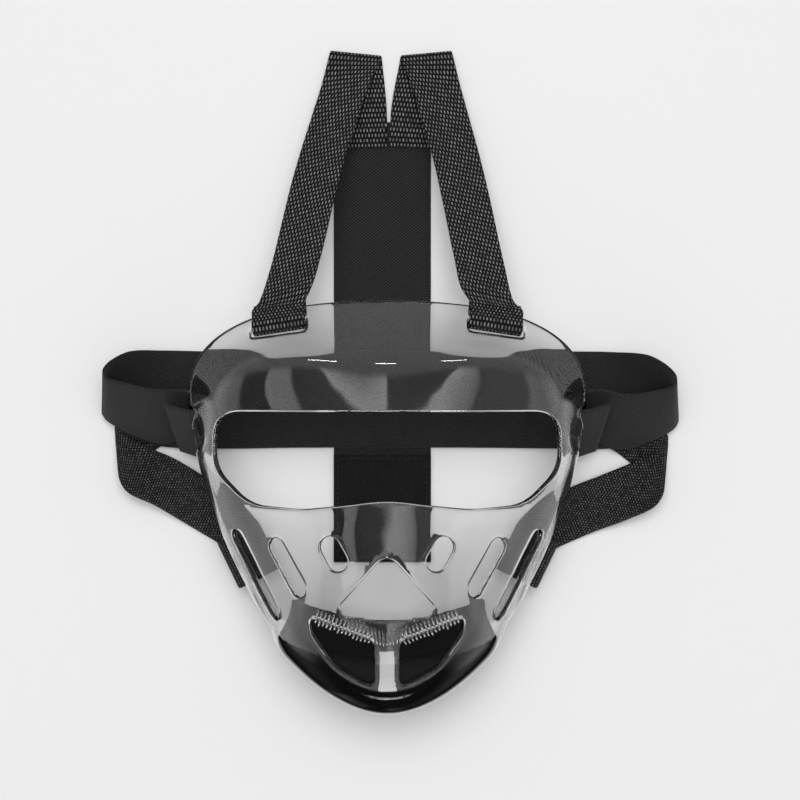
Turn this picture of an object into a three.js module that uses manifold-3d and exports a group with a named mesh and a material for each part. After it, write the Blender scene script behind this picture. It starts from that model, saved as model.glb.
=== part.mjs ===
// Taekwondo face shield, lying on its back with its straps spread out.
// Millimetres. +X is the wearer's left as seen from the front, +Y the forehead, +Z the way the face looks.
// The origin lies on the floor, under the middle of the flat part of the head band.
import * as THREE from 'three';
import { mergeVertices } from 'three/addons/utils/BufferGeometryUtils.js';
import Module from 'manifold-3d';

const wasm = await Module();
wasm.setup();

// Sheet thicknesses and the gap that touching pieces keep
const SHIELD_WALL = 2.6;
const WEBBING_WIDTH = 26;
const WEBBING_THICK = 1.6;
const ELASTIC_WIDTH = 50;
const ELASTIC_THICK = 1.5;
const LOOP_TAPE_THICK = 2.2;
const GAP = 0.35;

// Plan outline of the shield: a squarish half ellipse above Y = 0 and a longer round one below it
const HALF_WIDTH = 97.2;
const TOP_REACH = 48.5;
const CHIN_REACH = 153;
const TOP_POWER = 2.5;
const CHIN_POWER = 1.74;
// The chin steps out past the cheeks to hold the pad; the step stands between two angles below level
const CHIN_LIP = { step: 4.5, from: 54, to: 63.5, fade: 0.85 };
// Centre of the rays that carry the cross-sections, inside the eye window
const POLE = new THREE.Vector2(0, -26);
// How square the cross-section is at the sides, at the chin and at the top
const SIDE_POWER = 2.4;
const CHIN_SQUARE = 2.1;
const TOP_SQUARE = 6.6;
// Rise of the sloping forehead band for each millimetre inwards
const FOREHEAD_SLOPE = 0.95;
const BEND_SHARPNESS = 7;

// Heights along the face, each row [y, z]
const CROWN_HEIGHT = [
  [-154, 90], [-134, 95], [-115, 98], [-95, 99.5], [-75, 98.5], [-50, 95.5], [-5, 91.5], [49, 90],
];
// Height at which the wall turns upright
const SPRING_HEIGHT = [
  [-154, 28], [-130, 20], [-100, 17], [-70, 20], [-40, 30], [-15, 45], [0, 54],
  [10, 55.5], [25, 56], [49, 58],
];
// Height of the cut edge
const RIM_HEIGHT = [
  [-154, 26], [-130, 15], [-100, 8], [-70, 6.5], [-36, 6.5], [-24, 7], [-18, 14], [-6, 36],
  [1, 49.8], [6, 54.7], [25, 56], [49, 58],
];

// Openings seen from the front, each corner [x, y, corner radius]; the left one of a pair is mirrored
const EYE_WINDOW = [
  [-83, -5.2, 15], [83, -5.2, 15], [83.5, -34, 18], [66, -50.5, 24], [40, -51.8, 60],
  [0, -46.8, 80], [-40, -51.8, 60], [-66, -50.5, 24], [-83.5, -34, 18],
];
const NOSE = [
  [0, -70.5, 7], [23, -96.5, 3.5], [20.5, -101.8, 3],
  [0, -104.2, 60], [-20.5, -101.8, 3], [-23, -96.5, 3.5],
];
const MOUTH = [[-37, -101.5, 4.5], [-5.6, -112.5, 5], [-5.6, -137.5, 4], [-24.5, -127, 24], [-36, -111, 12]];
const FOREHEAD_SLOT = [[-66.5, 30, 2.4], [-38.5, 33.6, 2.4], [-38.5, 41, 2.4], [-66.5, 35.2, 2.4]];
// Round-ended slots, each with its centre, size and the lean of its top away from the middle
const VENT = { x: -25.2, y: -71.8, length: 18, width: 10.5, lean: 31 };
const INNER_CHEEK_SLOT = { x: -47.4, y: -79, length: 32, width: 9.5, lean: 40 };
const OUTER_CHEEK_SLOT = { x: -63.5, y: -84, length: 48, width: 9.5, lean: 44 };

// Strap slots in the upright side wall
const TEMPLE_SLOT = { yLow: -29.5, zLow: 11, yHigh: -4, zHigh: 57, width: 5.5 };
const TEMPLE_BAR = 6.4;
const JAW_SLOT = { y: -82, z: 17, length: 28, width: 5 };

// Chin pad: half its length, y of its hollow face at the middle and at the ends, and that face's lean
const CHIN_PAD = { halfLength: 50, middle: -109.5, ends: -103, slope: -12.7 / 61, backHeight: 24 };

const degrees = (angle) => (angle * Math.PI) / 180;

// Value of a table of [y, z] rows at y, on cubics whose slope at a row is that of its two neighbours
function tableHeight(rows, y) {
  const last = rows.length - 1;
  const at = Math.min(Math.max(y, rows[0][0]), rows[last][0]);
  let i = 0;
  while (i < last - 1 && at > rows[i + 1][0]) i += 1;
  const slope = (k) => {
    const before = rows[Math.max(k - 1, 0)];
    const after = rows[Math.min(k + 1, last)];
    return (after[1] - before[1]) / (after[0] - before[0]);
  };
  const span = rows[i + 1][0] - rows[i][0];
  const t = (at - rows[i][0]) / span;
  const rise = rows[i + 1][1] - rows[i][1];
  const a = slope(i) * span - rise;
  const b = rise - slope(i + 1) * span;
  return rows[i][1] + t * rise + t * (1 - t) * ((1 - t) * a + t * b);
}

// How far the chin steps out along a ray: most where the step stands, less towards the middle of the chin
function chinLip(angle) {
  const fall = (Math.asin(-Math.sin(angle)) * 180) / Math.PI;
  const t = Math.min(Math.max((fall - CHIN_LIP.from) / (CHIN_LIP.to - CHIN_LIP.from), 0), 1);
  const fade = 1 - (CHIN_LIP.fade * (fall - CHIN_LIP.from)) / (90 - CHIN_LIP.from);
  return CHIN_LIP.step * t * t * (3 - 2 * t) * fade;
}

// Distance from the pole to the plan outline along a ray
function outlineRadius(angle) {
  let low = 0;
  let high = CHIN_REACH + TOP_REACH;
  for (let step = 0; step < 50; step += 1) {
    const middle = (low + high) / 2;
    const x = Math.abs(POLE.x + middle * Math.cos(angle));
    const y = POLE.y + middle * Math.sin(angle);
    const reach = y > 0 ? TOP_REACH : CHIN_REACH;
    const power = y > 0 ? TOP_POWER : CHIN_POWER;
    const inside = (x / HALF_WIDTH) ** power + (Math.abs(y) / reach) ** power < 1;
    if (inside) low = middle;
    else high = middle;
  }
  return low + chinLip(angle);
}

// Half width of the plan outline below its widest place
const outlineWidth = (y) => HALF_WIDTH * (1 - (-y / CHIN_REACH) ** CHIN_POWER) ** (1 / CHIN_POWER);

// The outer face of the shield at a share of the way from the pole to the outline
function domePoint(share, angle) {
  const radius = outlineRadius(angle);
  const x = POLE.x + share * radius * Math.cos(angle);
  const y = POLE.y + share * radius * Math.sin(angle);
  const lift = Math.sin(angle);
  const square = lift < 0 ? CHIN_SQUARE * lift ** 6 : TOP_SQUARE * lift ** 2;
  const power = SIDE_POWER + square;
  const spring = tableHeight(SPRING_HEIGHT, POLE.y + radius * Math.sin(angle));
  const dome = (tableHeight(CROWN_HEIGHT, y) - spring) * (1 - share ** power) ** (1 / power);
  let rise = dome;
  if (lift > 0 && share < 1) {
    const band = (FOREHEAD_SLOPE / Math.sqrt(lift)) * (1 - share) * radius;
    rise = (dome ** -BEND_SHARPNESS + band ** -BEND_SHARPNESS) ** (-1 / BEND_SHARPNESS);
  }
  return new THREE.Vector3(x, y, spring + rise);
}

// Outer face point over a place in plan, with the outward normal there
function faceAt(x, y) {
  const place = (px, py) => {
    const angle = Math.atan2(py - POLE.y, px - POLE.x);
    const share = Math.hypot(px - POLE.x, py - POLE.y) / outlineRadius(angle);
    return domePoint(share, angle);
  };
  const step = 0.2;
  const point = place(x, y);
  const across = place(x + step, y).sub(place(x - step, y));
  const along = place(x, y + step).sub(place(x, y - step));
  return { point, normal: across.cross(along).normalize() };
}

// Section of the shield along one ray, from the cut edge to the hole round the pole, at even lengths
const POLE_HOLE = 0.13;
const SECTION_SHARES = [0, 0.05, 0.11, 0.18, 0.25, 0.32, 0.39, 0.46, 0.54, 0.63, 0.73, 0.86, 1];
function raySection(angle) {
  const edge = domePoint(1, angle);
  const rim = Math.min(tableHeight(RIM_HEIGHT, edge.y), edge.z);
  const line = [new THREE.Vector3(edge.x, edge.y, rim)];
  if (edge.z - rim > 0.2) line.push(edge);
  const steps = 160;
  for (let i = 1; i <= steps; i += 1) {
    const share = 1 - (1 - POLE_HOLE) * (i / steps) ** 2.5;
    line.push(domePoint(share, angle));
  }
  const lengths = [0];
  for (let i = 1; i < line.length; i += 1) lengths.push(lengths[i - 1] + line[i].distanceTo(line[i - 1]));
  const total = lengths[lengths.length - 1];
  let k = 1;
  return SECTION_SHARES.map((share) => {
    const wanted = share * total;
    while (k < line.length - 1 && lengths[k] < wanted) k += 1;
    const t = (wanted - lengths[k - 1]) / (lengths[k] - lengths[k - 1]);
    return line[k - 1].clone().lerp(line[k], t);
  });
}

// Sections all round the pole make the net of the shield's outer face
const COLUMNS = 80;
const shieldNet = Array.from({ length: COLUMNS }, (_, j) => raySection(degrees(-90 + (360 * j) / COLUMNS)));

// The net pushed in along its own normals
function insetNet(net, depth) {
  const rows = net[0].length;
  return net.map((column, j) => column.map((point, i) => {
    const next = net[(j + 1) % COLUMNS][i];
    const before = net[(j + COLUMNS - 1) % COLUMNS][i];
    const inner = column[Math.min(i + 1, rows - 1)];
    const outer = column[Math.max(i - 1, 0)];
    const normal = next.clone().sub(before).cross(inner.clone().sub(outer)).normalize();
    return point.clone().addScaledVector(normal, -depth);
  }));
}

function geometryFrom(points, triangles) {
  const geometry = new THREE.BufferGeometry();
  geometry.setAttribute('position', new THREE.Float32BufferAttribute(points.flatMap((p) => p.toArray()), 3));
  geometry.setIndex(triangles.flat());
  return geometry;
}

function solidFrom(geometry) {
  const bare = geometry.clone();
  bare.deleteAttribute('normal');
  bare.deleteAttribute('uv');
  const merged = mergeVertices(bare, 1e-4);
  const vertProperties = new Float32Array(merged.attributes.position.array);
  const triVerts = new Uint32Array(merged.index.array);
  return new wasm.Manifold(new wasm.Mesh({ numProp: 3, vertProperties, triVerts }));
}

function geometryOf(solid) {
  const mesh = solid.getMesh();
  const geometry = new THREE.BufferGeometry();
  geometry.setAttribute('position', new THREE.BufferAttribute(new Float32Array(mesh.vertProperties), 3));
  geometry.setIndex(Array.from(mesh.triVerts));
  return geometry;
}

// Wall between an outer and an inner net, closed at the cut edge and at the hole round the pole
function shellGeometry(outer, inner) {
  const rows = outer[0].length;
  const points = [...outer.flat(), ...inner.flat()];
  const index = (layer, j, i) => layer * COLUMNS * rows + (j % COLUMNS) * rows + i;
  const triangles = [];
  const quad = (a, b, c, d) => triangles.push([a, b, c], [a, c, d]);
  for (let j = 0; j < COLUMNS; j += 1) {
    for (let i = 0; i < rows - 1; i += 1) {
      quad(index(0, j, i), index(0, j + 1, i), index(0, j + 1, i + 1), index(0, j, i + 1));
      quad(index(1, j, i), index(1, j, i + 1), index(1, j + 1, i + 1), index(1, j + 1, i));
    }
    quad(index(0, j, 0), index(1, j, 0), index(1, j + 1, 0), index(0, j + 1, 0));
    quad(index(0, j, rows - 1), index(0, j + 1, rows - 1), index(1, j + 1, rows - 1), index(1, j, rows - 1));
  }
  return geometryFrom(points, triangles);
}

// The space under a net, closed by a cone of triangles to a point at the back
function fillGeometry(net, back) {
  const rows = net[0].length;
  const points = [...net.flat(), back, new THREE.Vector3(POLE.x, POLE.y, net[0][rows - 1].z)];
  const index = (j, i) => (j % COLUMNS) * rows + i;
  const backPoint = COLUMNS * rows;
  const polePoint = backPoint + 1;
  const triangles = [];
  for (let j = 0; j < COLUMNS; j += 1) {
    for (let i = 0; i < rows - 1; i += 1) {
      triangles.push([index(j, i), index(j + 1, i), index(j + 1, i + 1)]);
      triangles.push([index(j, i), index(j + 1, i + 1), index(j, i + 1)]);
    }
    triangles.push([index(j, 0), backPoint, index(j + 1, 0)]);
    triangles.push([index(j, rows - 1), index(j + 1, rows - 1), polePoint]);
  }
  return geometryFrom(points, triangles);
}

// Closed outline whose corners are rounded
const CORNER_STEPS = 5;
function roundedShape(corners) {
  const count = corners.length;
  const points = [];
  corners.forEach(([x, y, radius], k) => {
    const corner = new THREE.Vector2(x, y);
    const [bx, by] = corners[(k + count - 1) % count];
    const [ax, ay] = corners[(k + 1) % count];
    const toBefore = new THREE.Vector2(bx, by).sub(corner);
    const toAfter = new THREE.Vector2(ax, ay).sub(corner);
    const half = Math.acos(toBefore.clone().normalize().dot(toAfter.clone().normalize())) / 2;
    const room = 0.48 * Math.min(toBefore.length(), toAfter.length());
    const cut = Math.min(radius / Math.tan(half), room);
    const start = corner.clone().addScaledVector(toBefore.normalize(), cut);
    const end = corner.clone().addScaledVector(toAfter.normalize(), cut);
    const arc = new THREE.QuadraticBezierCurve(start, corner, end);
    points.push(...arc.getPoints(CORNER_STEPS));
  });
  return new THREE.Shape(points);
}

const mirrored = (corners) => corners.map(([x, y, radius]) => [-x, y, radius]).reverse();

// Straight punch through the front of the shield, between two heights
const PUNCH_FROM = 42;
const PUNCH_TO = 120;
// Depth of the cutters that stand square to the wall
const CUTTER_DEPTH = 24;
function punch(corners) {
  const geometry = new THREE.ExtrudeGeometry(roundedShape(corners), {
    depth: PUNCH_TO - PUNCH_FROM, bevelEnabled: false, steps: 1,
  });
  return solidFrom(geometry.translate(0, 0, PUNCH_FROM));
}

// Round-ended bar, used to cut a slot square to the wall: its length runs along one direction of the wall
function slotCutter(centre, lengthwise, normal, length, width) {
  const depth = CUTTER_DEPTH;
  const side = (length - width) / 2;
  const shape = new THREE.Shape();
  shape.absarc(0, side, width / 2, 0, Math.PI, false);
  shape.absarc(0, -side, width / 2, Math.PI, 2 * Math.PI, false);
  const geometry = new THREE.ExtrudeGeometry(shape, {
    depth, bevelEnabled: false, steps: 1, curveSegments: 8,
  });
  geometry.translate(0, 0, -depth / 2);
  const z = normal.clone().normalize();
  const x = lengthwise.clone().cross(z).normalize();
  const y = z.clone().cross(x);
  geometry.applyMatrix4(new THREE.Matrix4().makeBasis(x, y, z).setPosition(centre));
  return solidFrom(geometry);
}

// Slot that lies on the dome, its top leaning away from the middle
function domeSlot(slot, side) {
  const { point, normal } = faceAt(slot.x * -side, slot.y);
  const lean = degrees(slot.lean);
  const upward = new THREE.Vector3(side * Math.sin(lean), Math.cos(lean), 0);
  upward.addScaledVector(normal, -upward.dot(normal)).normalize();
  return slotCutter(point, upward, normal, slot.length, slot.width);
}

// Frames of the two strap bars in the side wall: across the strap, towards the free edge, and outwards
function templeFrame(side) {
  const slot = TEMPLE_SLOT;
  const low = new THREE.Vector3(side * outlineWidth(slot.yLow), slot.yLow, slot.zLow);
  const high = new THREE.Vector3(side * outlineWidth(slot.yHigh), slot.yHigh, slot.zHigh);
  const across = high.clone().sub(low).normalize();
  const centre = low.clone().add(high).multiplyScalar(0.5);
  const outward = new THREE.Vector3(side, 0, 0);
  const edgeward = across.clone().cross(outward).multiplyScalar(side).normalize();
  return { centre, across, outward, edgeward, length: high.distanceTo(low) };
}

function jawFrame(side) {
  const halfLength = JAW_SLOT.length / 2;
  const front = outlineWidth(JAW_SLOT.y - halfLength);
  const back = outlineWidth(JAW_SLOT.y + halfLength);
  const centre = new THREE.Vector3(side * outlineWidth(JAW_SLOT.y), JAW_SLOT.y, JAW_SLOT.z);
  const across = new THREE.Vector3(side * (back - front), JAW_SLOT.length, 0).normalize();
  const outward = new THREE.Vector3(side * across.y, -side * across.x, 0);
  return { centre, across, outward, edgeward: new THREE.Vector3(0, 0, -1), length: JAW_SLOT.length };
}

const SIDES = [{ name: 'left', side: -1 }, { name: 'right', side: 1 }];

function makeShield() {
  let shield = solidFrom(shellGeometry(shieldNet, insetNet(shieldNet, SHIELD_WALL)));
  const cuts = [punch(EYE_WINDOW), punch(NOSE)];
  for (const { side } of SIDES) {
    cuts.push(punch(side < 0 ? MOUTH : mirrored(MOUTH)));
    cuts.push(punch(side < 0 ? FOREHEAD_SLOT : mirrored(FOREHEAD_SLOT)));
    for (const slot of [VENT, INNER_CHEEK_SLOT, OUTER_CHEEK_SLOT]) cuts.push(domeSlot(slot, side));
    const temple = templeFrame(side);
    cuts.push(slotCutter(temple.centre, temple.across, temple.outward, temple.length, TEMPLE_SLOT.width));
    const jaw = jawFrame(side);
    cuts.push(slotCutter(jaw.centre, jaw.across, jaw.outward, jaw.length, JAW_SLOT.width));
  }
  for (const cut of cuts) shield = shield.subtract(cut);
  return geometryOf(shield);
}

// Foam block that fills the chin: the space under the shield, cut off by a leaning hollow face
const PAD_BLOCK_HEIGHT = 110;
function makeChinPad() {
  const pad = CHIN_PAD;
  const back = new THREE.Vector3(POLE.x, POLE.y, pad.backHeight);
  const under = solidFrom(fillGeometry(insetNet(shieldNet, SHIELD_WALL + GAP), back));
  const shape = new THREE.Shape();
  shape.moveTo(-pad.halfLength, pad.ends);
  shape.quadraticCurveTo(0, 2 * pad.middle - pad.ends, pad.halfLength, pad.ends);
  shape.lineTo(pad.halfLength, -CHIN_REACH - CHIN_LIP.step);
  shape.lineTo(-pad.halfLength, -CHIN_REACH - CHIN_LIP.step);
  const block = new THREE.ExtrudeGeometry(shape, {
    depth: PAD_BLOCK_HEIGHT, bevelEnabled: false, steps: 1, curveSegments: 16,
  });
  const shear = new THREE.Matrix4().makeShear(0, 0, 0, 0, 0, pad.slope);
  shear.setPosition(0, -pad.slope * pad.backHeight, 0);
  return geometryOf(under.intersect(solidFrom(block.applyMatrix4(shear))));
}

// Strap along stations { at, edge }: its middle and the vector from its lower to its upper edge.
// Each span between stations gets the same number of steps.
function ribbon(stations, thick, stepsPerSpan) {
  const middle = new THREE.CatmullRomCurve3(stations.map((s) => s.at), false, 'centripetal');
  const edge = new THREE.CatmullRomCurve3(stations.map((s) => s.edge), false, 'catmullrom', 0.5);
  const count = (stations.length - 1) * stepsPerSpan;
  const points = [];
  for (let k = 0; k <= count; k += 1) {
    const t = k / count;
    const at = middle.getPoint(t);
    const half = edge.getPoint(t).multiplyScalar(0.5);
    const normal = middle.getTangent(t).cross(half).normalize().multiplyScalar(thick / 2);
    for (const [u, v] of [[-1, -1], [1, -1], [1, 1], [-1, 1]]) {
      points.push(at.clone().addScaledVector(half, u).addScaledVector(normal, v));
    }
  }
  const triangles = [[0, 2, 1], [0, 3, 2]];
  for (let k = 0; k < count; k += 1) {
    for (let side = 0; side < 4; side += 1) {
      const a = 4 * k + side;
      const b = 4 * k + ((side + 1) % 4);
      triangles.push([a, b, b + 4], [a, b + 4, a + 4]);
    }
  }
  const end = 4 * count;
  triangles.push([end, end + 1, end + 2], [end, end + 2, end + 3]);
  return geometryFrom(points, triangles);
}

const station = (at, edge) => ({ at, edge });
const vector = (x, y, z) => new THREE.Vector3(x, y, z);

// Points of a strap round a bar, in steps [towards the free edge, outwards] of the bar's frame
function loopStations(frame, bar, width, steps) {
  const edge = frame.across.clone().multiplyScalar(width);
  return steps.map(([edgeward, outward]) => {
    const at = bar.clone().addScaledVector(frame.edgeward, edgeward).addScaledVector(frame.outward, outward);
    return station(at, edge.clone());
  });
}

// Head band: flat behind the head, then for each side a standing loop back to the temple bar.
// Columns: x outwards, y, z, edge vector x outwards, y, z, and how much of the side's own drop it takes.
const BAND_FLAT_HEIGHT = 2.65;
const BAND_LOOP = [
  [0, 0.5, BAND_FLAT_HEIGHT, 0, 50, 0, 0],
  [45, 0.5, BAND_FLAT_HEIGHT, 0, 50, 0, 0],
  [90, 0, 3.1, 0, 50, 0, 0],
  [114, 0.6, 6.5, 0, 49.4, 6, 0.2],
  [131, 2.6, 17.6, -2, 43, 24.5, 0.5],
  [142.5, 4.2, 27.4, -7, 22, 43.6, 0.8],
  [141, 0.6, 28.2, -6, 21.5, 44.2, 1],
  [130, -4.5, 27.5, -1, 26, 42.6, 1],
  [116, -8.5, 28, 0, 27.5, 41.8, 0.7],
];
const BAND_SIDE = { left: { drop: 0, reach: 0 }, right: { drop: -4, reach: 2.5 } };

function bandStations(name, side) {
  const { drop, reach } = BAND_SIDE[name];
  const stations = BAND_LOOP.map(([x, y, z, ex, ey, ez, own]) => station(
    vector(side * (x + own * reach), y + own * drop, z),
    vector(side * ex, ey, ez),
  ));
  const frame = templeFrame(side);
  const clear = SHIELD_WALL / 2 + GAP + ELASTIC_THICK / 2;
  const bar = frame.centre.clone();
  bar.addScaledVector(frame.edgeward, (TEMPLE_SLOT.width + TEMPLE_BAR) / 2);
  bar.addScaledVector(frame.outward, -SHIELD_WALL / 2);
  const past = TEMPLE_BAR / 2 + GAP + ELASTIC_THICK / 2 + 0.5;
  const slotMiddle = -(TEMPLE_BAR + TEMPLE_SLOT.width) / 2;
  const loop = loopStations(frame, bar, ELASTIC_WIDTH, [
    [past, 10],
    [past, 2],
    [past - 0.6, -clear - 0.6],
    [TEMPLE_BAR / 2 - 2, -clear - 2.4],
    [-TEMPLE_BAR / 2 + 1, -clear - 2],
    [slotMiddle - 0.3, -1],
    [slotMiddle, 3],
    [slotMiddle + 1.6, 8],
    [slotMiddle + 3.4, 13],
  ]);
  return [...stations, ...loop];
}

function makeHeadBand() {
  const left = bandStations('left', -1).reverse();
  const right = bandStations('right', 1).slice(1);
  return ribbon([...left, ...right], ELASTIC_THICK, 4);
}

// Crown strap, flat on the floor from the forehead end to its free tail
const CROWN_STRAP = { x: -3, top: 143, bottom: -83.5 };
// Fastening tape on the face of the tail
const LOOP_TAPE = { x: -3, top: -28, bottom: -83 };
function makeFlatStrap({ x, top, bottom }, low, thick) {
  const strap = new THREE.BoxGeometry(ELASTIC_WIDTH, top - bottom, thick);
  return strap.translate(x, (top + bottom) / 2, low + thick / 2);
}

// Top webbing: round the bar above its forehead slot, up to a flat fold, and back to the crown strap.
// Columns: x outwards, y, z, edge vector x outwards, y, z.
const TOP_WEBBING = {
  left: [
    [49.7, 51, 57.5, 25.2, 6.4, 0],
    [45, 68.5, 46, 25.1, 6.8, 0],
    [34.6, 118, 21.5, 25.2, 6.5, 0],
    [21.6, 162, 6.2, 25.6, 3.6, 0],
    [17.6, 174, 4.3, 26.4, -1.4, 0],
    [16.8, 176.6, 3.7, 26.5, -2.5, 0],
    [16.6, 177.6, 2.3, 26.5, -2.6, 0],
    [16.5, 176.6, 1.2, 26.5, -2.4, 0],
    [16.1, 173, 1, 26.3, -1, 0],
    [13.8, 150, 2.7, 26, 0.8, 0],
    [13.4, 130, 2.7, 26, 0.4, 0],
  ],
  right: [
    [48.7, 51, 57.5, 25.4, 6, 0],
    [45, 68.5, 46, 25.3, 6.1, 0],
    [35.6, 118, 21.5, 25.4, 5.8, 0],
    [24.2, 162, 6.2, 25.8, 3, 0],
    [20.6, 174, 4.3, 26.4, -1.2, 0],
    [19.8, 176.6, 3.7, 26.5, -2.3, 0],
    [19.6, 177.6, 2.3, 26.5, -2.4, 0],
    [19.4, 176.6, 1.2, 26.5, -2.2, 0],
    [18.8, 173, 1, 26.3, -0.8, 0],
    [14.8, 150, 2.7, 26, 2.4, 0],
    [13.4, 130, 2.7, 26, 1, 0],
  ],
};

// Places in plan round the bar above a forehead slot: its middle, below and above it, and its two ends
const FOREHEAD_BAR = { x: 52.5, y: 40.5, below: 31.8, above: 42, inner: [40, 40], outer: [65, 36] };
function foreheadFrame(side) {
  const place = FOREHEAD_BAR;
  const bottomMiddle = faceAt(side * place.x, place.below);
  const topMiddle = faceAt(side * place.x, place.above);
  const inner = faceAt(side * place.inner[0], place.inner[1]);
  const outer = faceAt(side * place.outer[0], place.outer[1]);
  const outward = bottomMiddle.normal.clone().add(topMiddle.normal).normalize();
  const across = inner.point.clone().sub(outer.point).multiplyScalar(side < 0 ? 1 : -1);
  across.addScaledVector(outward, -across.dot(outward)).normalize();
  const edgeward = outward.clone().cross(across).normalize();
  if (edgeward.y < 0) edgeward.negate();
  return { centre: faceAt(side * place.x, place.y).point, across, outward, edgeward };
}

function makeTopWebbing(name, side) {
  const frame = foreheadFrame(side);
  const bar = frame.centre.clone().addScaledVector(frame.outward, -SHIELD_WALL / 2);
  const clear = SHIELD_WALL / 2 + GAP + WEBBING_THICK / 2;
  const loop = loopStations(frame, bar, WEBBING_WIDTH, [
    [12, clear - WEBBING_THICK - 2 * GAP],
    [9, -0.8],
    [5, -clear - 0.5],
    [-2, -clear - 1],
    [-6.6, -clear - 0.2],
    [-8.4, 0.2],
    [-6.6, clear + 0.4],
    [-1, clear + 0.4],
    [6, clear + 0.3],
  ]);
  const flat = TOP_WEBBING[name].map(([x, y, z, ex, ey, ez]) => station(
    vector(side * x, y, z),
    vector(ex, -side * ey, ez),
  ));
  return ribbon([...loop, ...flat], WEBBING_THICK, 4);
}

// Jaw webbing: from under the head band, round a standing bend, under the cut edge and round the jaw bar.
// Columns: x outwards, y, z, edge vector x outwards, y, z, and how much of the side's own drop it takes.
const JAW_WEBBING = [
  [94, -5, 1.1, 3, 25.8, 0, 0.3],
  [116, -9, 1.7, 7.3, 25, 0, 0.5],
  [129, -16.5, 2.1, 8.8, 24.5, 0, 0.8],
  [138.5, -24.5, 7.4, 4, 22, -10.4, 1],
  [130, -34, 12, -6.2, 24, -7.3, 1],
  [114, -42, 8.5, -9.4, 24.2, -2, 1],
  [99, -51.5, 3.4, -10.4, 23.7, 0, 0.6],
  [85.5, -60, 2, -8, 24.6, 0, 0.3],
  [70.5, -71.5, 2, 2, 25.8, 0, 0],
];
const JAW_SIDE = { left: { drop: 0, reach: 0 }, right: { drop: -7, reach: 3.5 } };

function makeJawWebbing(name, side) {
  const { drop, reach } = JAW_SIDE[name];
  const lying = JAW_WEBBING.map(([x, y, z, ex, ey, ez, own]) => station(
    vector(side * (x + own * reach), y + own * drop, z),
    vector(side * ex, ey, ez),
  ));
  const frame = jawFrame(side);
  const bar = frame.centre.clone().addScaledVector(frame.outward, -SHIELD_WALL / 2);
  const clear = SHIELD_WALL / 2 + GAP + WEBBING_THICK / 2;
  const loop = loopStations(frame, bar, WEBBING_WIDTH, [
    [12.5, -15],
    [5.5, -14.5],
    [0.6, -8],
    [-0.2, -2],
    [0.2, clear + 1.4],
    [5, clear + 3.4],
    [10.4, clear + 1.8],
    [12.3, -0.5],
    [12.3, -6],
  ]);
  return ribbon([...lying, ...loop], WEBBING_THICK, 4);
}

function material(color, roughness) {
  return new THREE.MeshStandardMaterial({ color, roughness });
}

const clearPlastic = material(0xdfe4e6, 0.05);
clearPlastic.transparent = true;
clearPlastic.opacity = 0.35;
const foam = material(0x17171a, 0.8);
const elastic = material(0x1b1b1d, 0.85);
const loopPile = material(0x141415, 0.95);
const webbing = material(0x1f1f21, 0.7);

const faceShield = new THREE.Group();
function addPiece(name, geometry, finish) {
  const mesh = new THREE.Mesh(geometry, finish);
  mesh.name = name;
  faceShield.add(mesh);
}

addPiece('shield', makeShield(), clearPlastic);
addPiece('chin_pad', makeChinPad(), foam);
addPiece('crown_strap', makeFlatStrap(CROWN_STRAP, 0, ELASTIC_THICK), elastic);
addPiece('loop_tape', makeFlatStrap(LOOP_TAPE, ELASTIC_THICK + GAP, LOOP_TAPE_THICK), loopPile);
addPiece('head_band', makeHeadBand(), elastic);
for (const { name, side } of SIDES) {
  addPiece(`top_webbing_${name}`, makeTopWebbing(name, side), webbing);
  addPiece(`jaw_webbing_${name}`, makeJawWebbing(name, side), webbing);
}

export default faceShield;
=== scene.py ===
"""Taekwondo face shield, lying on its back with its straps spread out, seen from straight above."""
import math

import bpy
import numpy as np
from mathutils import Matrix, Vector
from mathutils.geometry import delaunay_2d_cdt
from mathutils.kdtree import KDTree


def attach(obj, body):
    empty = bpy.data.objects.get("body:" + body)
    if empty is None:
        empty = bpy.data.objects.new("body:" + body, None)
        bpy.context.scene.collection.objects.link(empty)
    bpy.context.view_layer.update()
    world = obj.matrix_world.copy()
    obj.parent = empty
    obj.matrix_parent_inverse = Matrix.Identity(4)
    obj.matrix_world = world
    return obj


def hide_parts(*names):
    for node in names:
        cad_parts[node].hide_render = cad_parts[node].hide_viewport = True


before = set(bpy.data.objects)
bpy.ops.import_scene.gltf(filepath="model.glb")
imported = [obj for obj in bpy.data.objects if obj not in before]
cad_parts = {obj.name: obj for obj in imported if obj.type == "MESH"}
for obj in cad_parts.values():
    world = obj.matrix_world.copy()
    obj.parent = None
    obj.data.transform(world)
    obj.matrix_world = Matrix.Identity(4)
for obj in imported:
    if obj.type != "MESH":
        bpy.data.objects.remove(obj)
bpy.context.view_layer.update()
MM = 0.001

# The shield: one shell of clear polycarbonate, injection moulded and polished, with its openings moulded in.
# Its outer face is a dome over a plan outline, carried by rays from a pole inside the eye window.
# Below a spring line the wall stands upright down to the cut edge.
SHIELD_WALL = 2.6
HALF_WIDTH = 97.2
TOP_REACH = 48.5
CHIN_REACH = 153.0
TOP_POWER = 2.5
CHIN_POWER = 1.74
# The chin steps out past the cheeks to hold the pad: how far, between which angles below level, and its fade
CHIN_LIP_STEP = 4.5
CHIN_LIP_FROM = 54.0
CHIN_LIP_TO = 63.5
CHIN_LIP_FADE = 0.85
POLE_Y = -26.0
SIDE_POWER = 2.4
CHIN_SQUARE = 2.1
TOP_SQUARE = 6.6
FOREHEAD_SLOPE = 0.95
BEND_SHARPNESS = 7.0
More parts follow.
